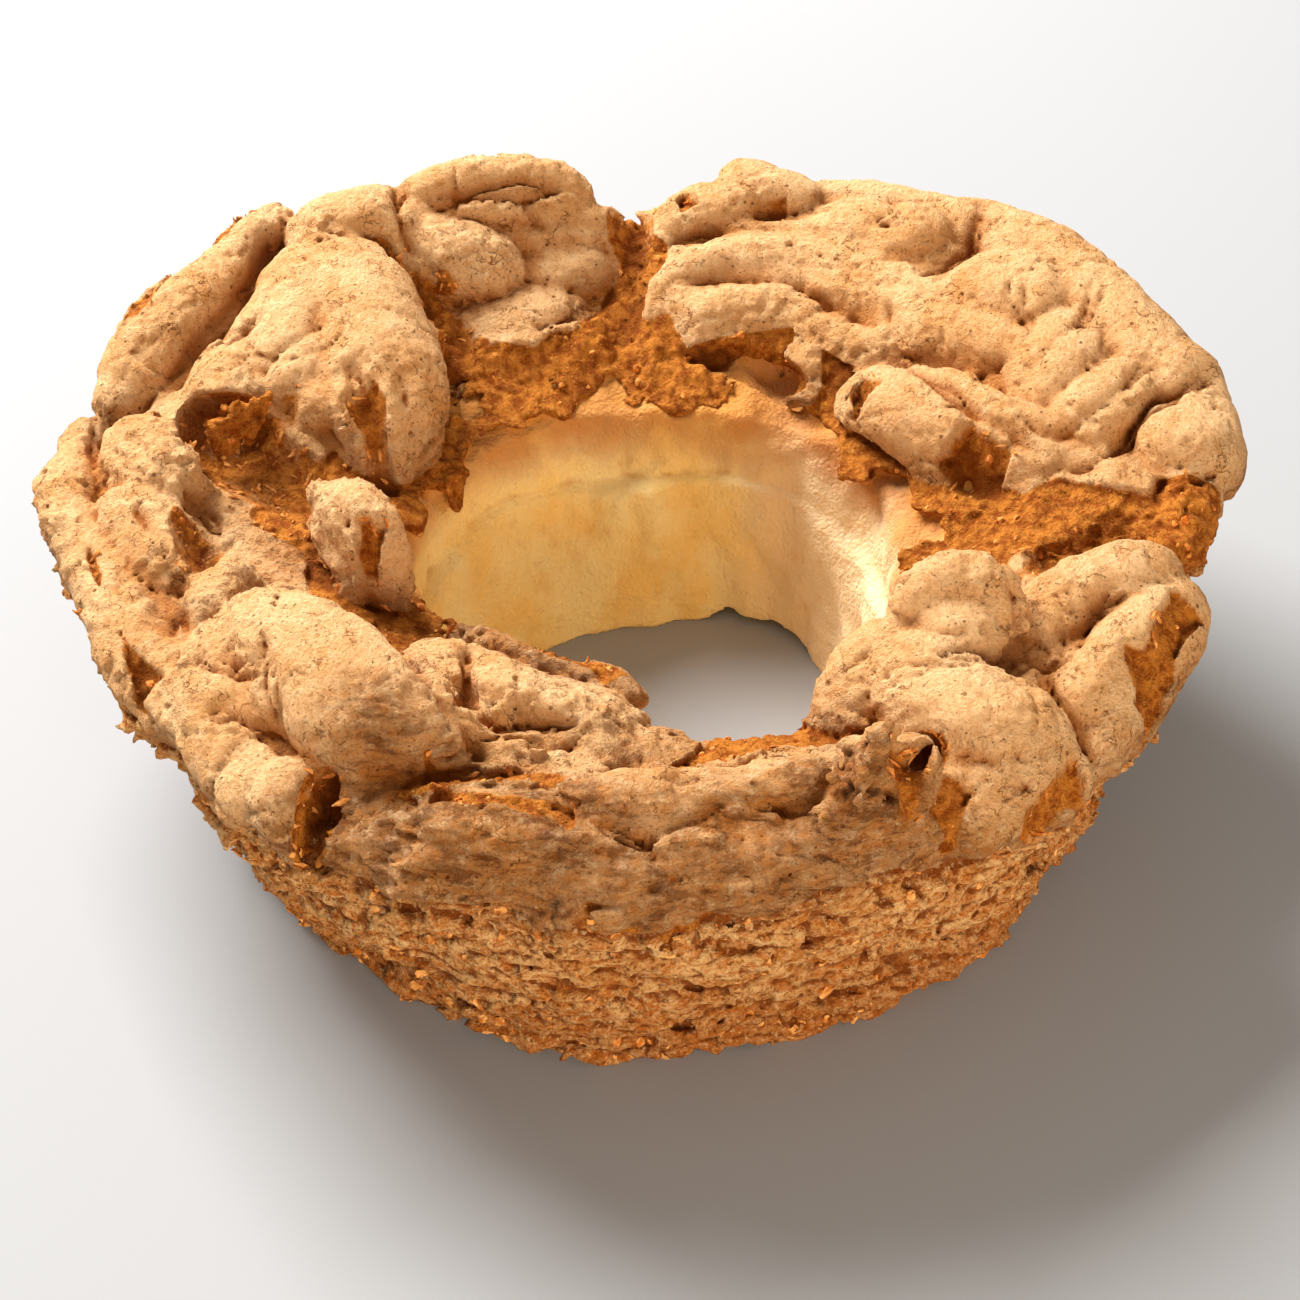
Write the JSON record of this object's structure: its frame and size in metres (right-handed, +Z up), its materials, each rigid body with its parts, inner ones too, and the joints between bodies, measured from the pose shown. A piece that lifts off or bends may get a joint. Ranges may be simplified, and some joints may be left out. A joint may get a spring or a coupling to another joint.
{
  "type": "angel cake",
  "caption": "Whole ring-shaped angel food cake with a tall, folded and cracked browned crust, crumbly sides and a pale hole through its middle.",
  "frame": {"origin": "on the flat base, under the middle of the bounding box; the hole's axis is 4.2 mm to +X and 5.5 mm to -Y of it", "axes": "+Z up along the hole, -Y towards the low front rim, +X towards the right side with the open cleft"},
  "size_m": [0.2708, 0.2479, 0.0971],
  "materials": {
    "crust": "matte browned meringue-like crust, folded, pored and cracked, darker orange in its clefts",
    "side_crumb": "torn open-textured crumb of the side, tan with cream flecks",
    "hole_crumb": "soft pale cream crumb of the hole's wall, with brown drips under the crust"
  },
  "bodies": {
    "root": {"angel_cake": "crust"}
  },
  "joints": []
}
